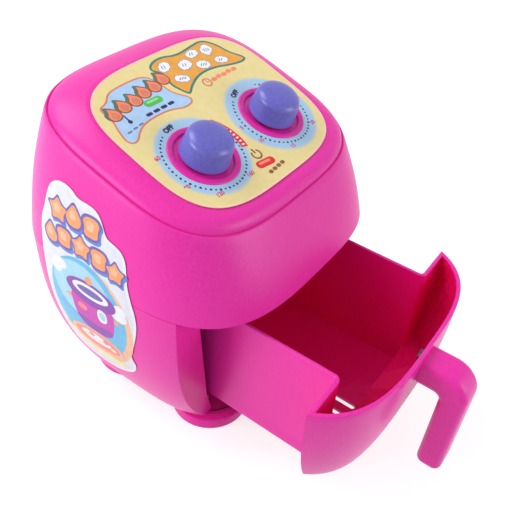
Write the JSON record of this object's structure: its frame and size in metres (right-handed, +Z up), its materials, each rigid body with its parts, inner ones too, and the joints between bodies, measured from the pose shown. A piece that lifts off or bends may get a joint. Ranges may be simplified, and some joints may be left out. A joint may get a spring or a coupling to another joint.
{
  "type": "toy air fryer",
  "caption": "Toy air fryer: hollow two-part housing with a tilted printed top, turning knobs, and a pull-out drawer with a slotted basket floor and an L-shaped handle.",
  "frame": {"origin": "on the floor, under the middle of the whole object's box with the drawer pulled out as pictured", "axes": "-Y to the front, where the drawer comes out; +X to the object's right as seen from the front; +Z up"},
  "size_m": [0.1657, 0.2568, 0.1921],
  "materials": {
    "pink_housing": "glossy moulded pink plastic",
    "pink_feet": "glossy moulded pink plastic",
    "pink_drawer": "glossy moulded pink plastic",
    "purple_knob": "smooth satin purple plastic",
    "printed_label": "printed film, yellow with blue dials",
    "printed_side_label": "printed film with a white border",
    "screw_steel": "zinc-plated steel"
  },
  "bodies": {
    "housing": {"lower_housing": "pink_housing", "upper_housing": "pink_housing", "base_plate": "pink_housing", "foot_front_left": "pink_feet", "foot_front_right": "pink_feet", "foot_rear_left": "pink_feet", "foot_rear_right": "pink_feet", "control_label": "printed_label", "side_label": "printed_side_label", "housing_screw_front_left": "screw_steel", "housing_screw_front_right": "screw_steel", "housing_screw_rear_left": "screw_steel", "housing_screw_rear_right": "screw_steel"},
    "drawer": {"drawer": "pink_drawer", "handle": "pink_drawer", "handle_screw_upper": "screw_steel", "handle_screw_lower": "screw_steel"},
    "temperature_knob": {"temperature_knob": "purple_knob", "temperature_knob_washer": "screw_steel", "temperature_knob_screw": "screw_steel"},
    "timer_knob": {"timer_knob": "purple_knob", "timer_knob_washer": "screw_steel", "timer_knob_screw": "screw_steel"}
  },
  "joints": [
    {"name": "drawer_slide", "type": "slide", "parent": "housing", "child": "drawer", "axis": [0, -1, 0], "range_m": [-0.07, 0.02]},
    {"name": "temperature_knob_turn", "type": "hinge", "parent": "housing", "child": "temperature_knob", "pos_m": [-0.028, 0.02367, 0.16938], "axis": [0, -0.342, 0.9397], "continuous": true},
    {"name": "timer_knob_turn", "type": "hinge", "parent": "housing", "child": "timer_knob", "pos_m": [0.028, 0.02367, 0.16938], "axis": [0, -0.342, 0.9397], "continuous": true}
  ]
}
